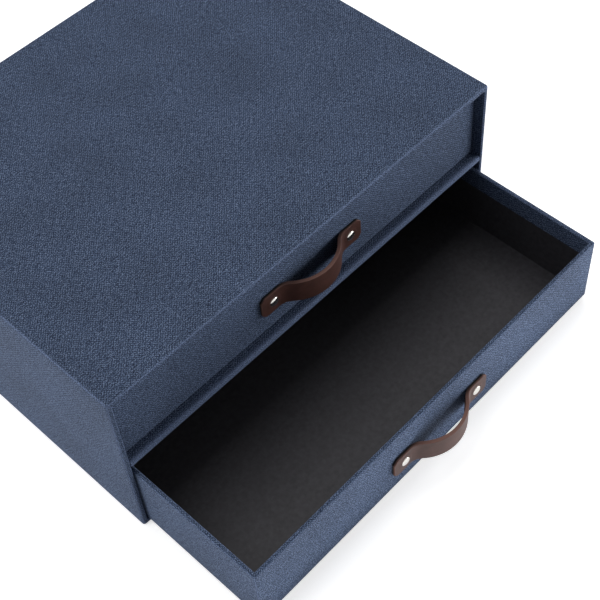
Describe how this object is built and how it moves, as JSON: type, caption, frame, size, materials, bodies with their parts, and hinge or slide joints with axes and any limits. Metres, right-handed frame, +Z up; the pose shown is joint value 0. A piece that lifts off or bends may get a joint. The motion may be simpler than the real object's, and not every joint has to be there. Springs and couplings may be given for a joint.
{
  "type": "file box with drawers",
  "caption": "File box of covered board: a casing with a shelf, and open-topped sliding drawers, each pulled out by a bowed leather strap held with domed rivets.",
  "frame": {"origin": "the middle of the casing's footprint, on the surface that the box stands on (the mount base)", "axes": "+Z up, the drawers open towards -Y, +X to the right seen from the front"},
  "size_m": [0.33, 0.3788, 0.139],
  "materials": {
    "covering": "embossed dark blue covering sheet",
    "fibreboard": "matte grey board",
    "base_paper": "matte dark paper",
    "bay_lining": "matte black paper",
    "drawer_lining": "smooth black paper",
    "leather": "waxed brown leather",
    "rivet_metal": "polished"
  },
  "bodies": {
    "casing": {"casing_top_board": "fibreboard", "casing_bottom_board": "fibreboard", "casing_left_board": "fibreboard", "casing_right_board": "fibreboard", "casing_back_board": "fibreboard", "shelf_board": "fibreboard", "casing_cover": "covering", "shelf_edge_strip": "covering", "casing_back_sheet": "covering", "casing_base_sheet": "base_paper", "upper_bay_lining": "bay_lining", "lower_bay_lining": "bay_lining"},
    "upper_drawer": {"upper_drawer_front_board": "fibreboard", "upper_drawer_back_board": "fibreboard", "upper_drawer_left_board": "fibreboard", "upper_drawer_right_board": "fibreboard", "upper_drawer_floor_board": "fibreboard", "upper_drawer_cover": "covering", "upper_drawer_base_sheet": "base_paper", "upper_drawer_lining": "drawer_lining", "upper_handle_strap": "leather", "upper_rivet_caps": "rivet_metal", "upper_rivet_backs": "rivet_metal"},
    "lower_drawer": {"lower_drawer_front_board": "fibreboard", "lower_drawer_back_board": "fibreboard", "lower_drawer_left_board": "fibreboard", "lower_drawer_right_board": "fibreboard", "lower_drawer_floor_board": "fibreboard", "lower_drawer_cover": "covering", "lower_drawer_base_sheet": "base_paper", "lower_drawer_lining": "drawer_lining", "lower_handle_strap": "leather", "lower_rivet_caps": "rivet_metal", "lower_rivet_backs": "rivet_metal"}
  },
  "joints": [
    {"name": "upper_drawer_slide", "type": "slide", "parent": "casing", "child": "upper_drawer", "axis": [0, -1, 0], "range_m": [0, 0.23]},
    {"name": "lower_drawer_slide", "type": "slide", "parent": "casing", "child": "lower_drawer", "axis": [0, -1, 0], "range_m": [-0.1065, 0.1235]}
  ]
}
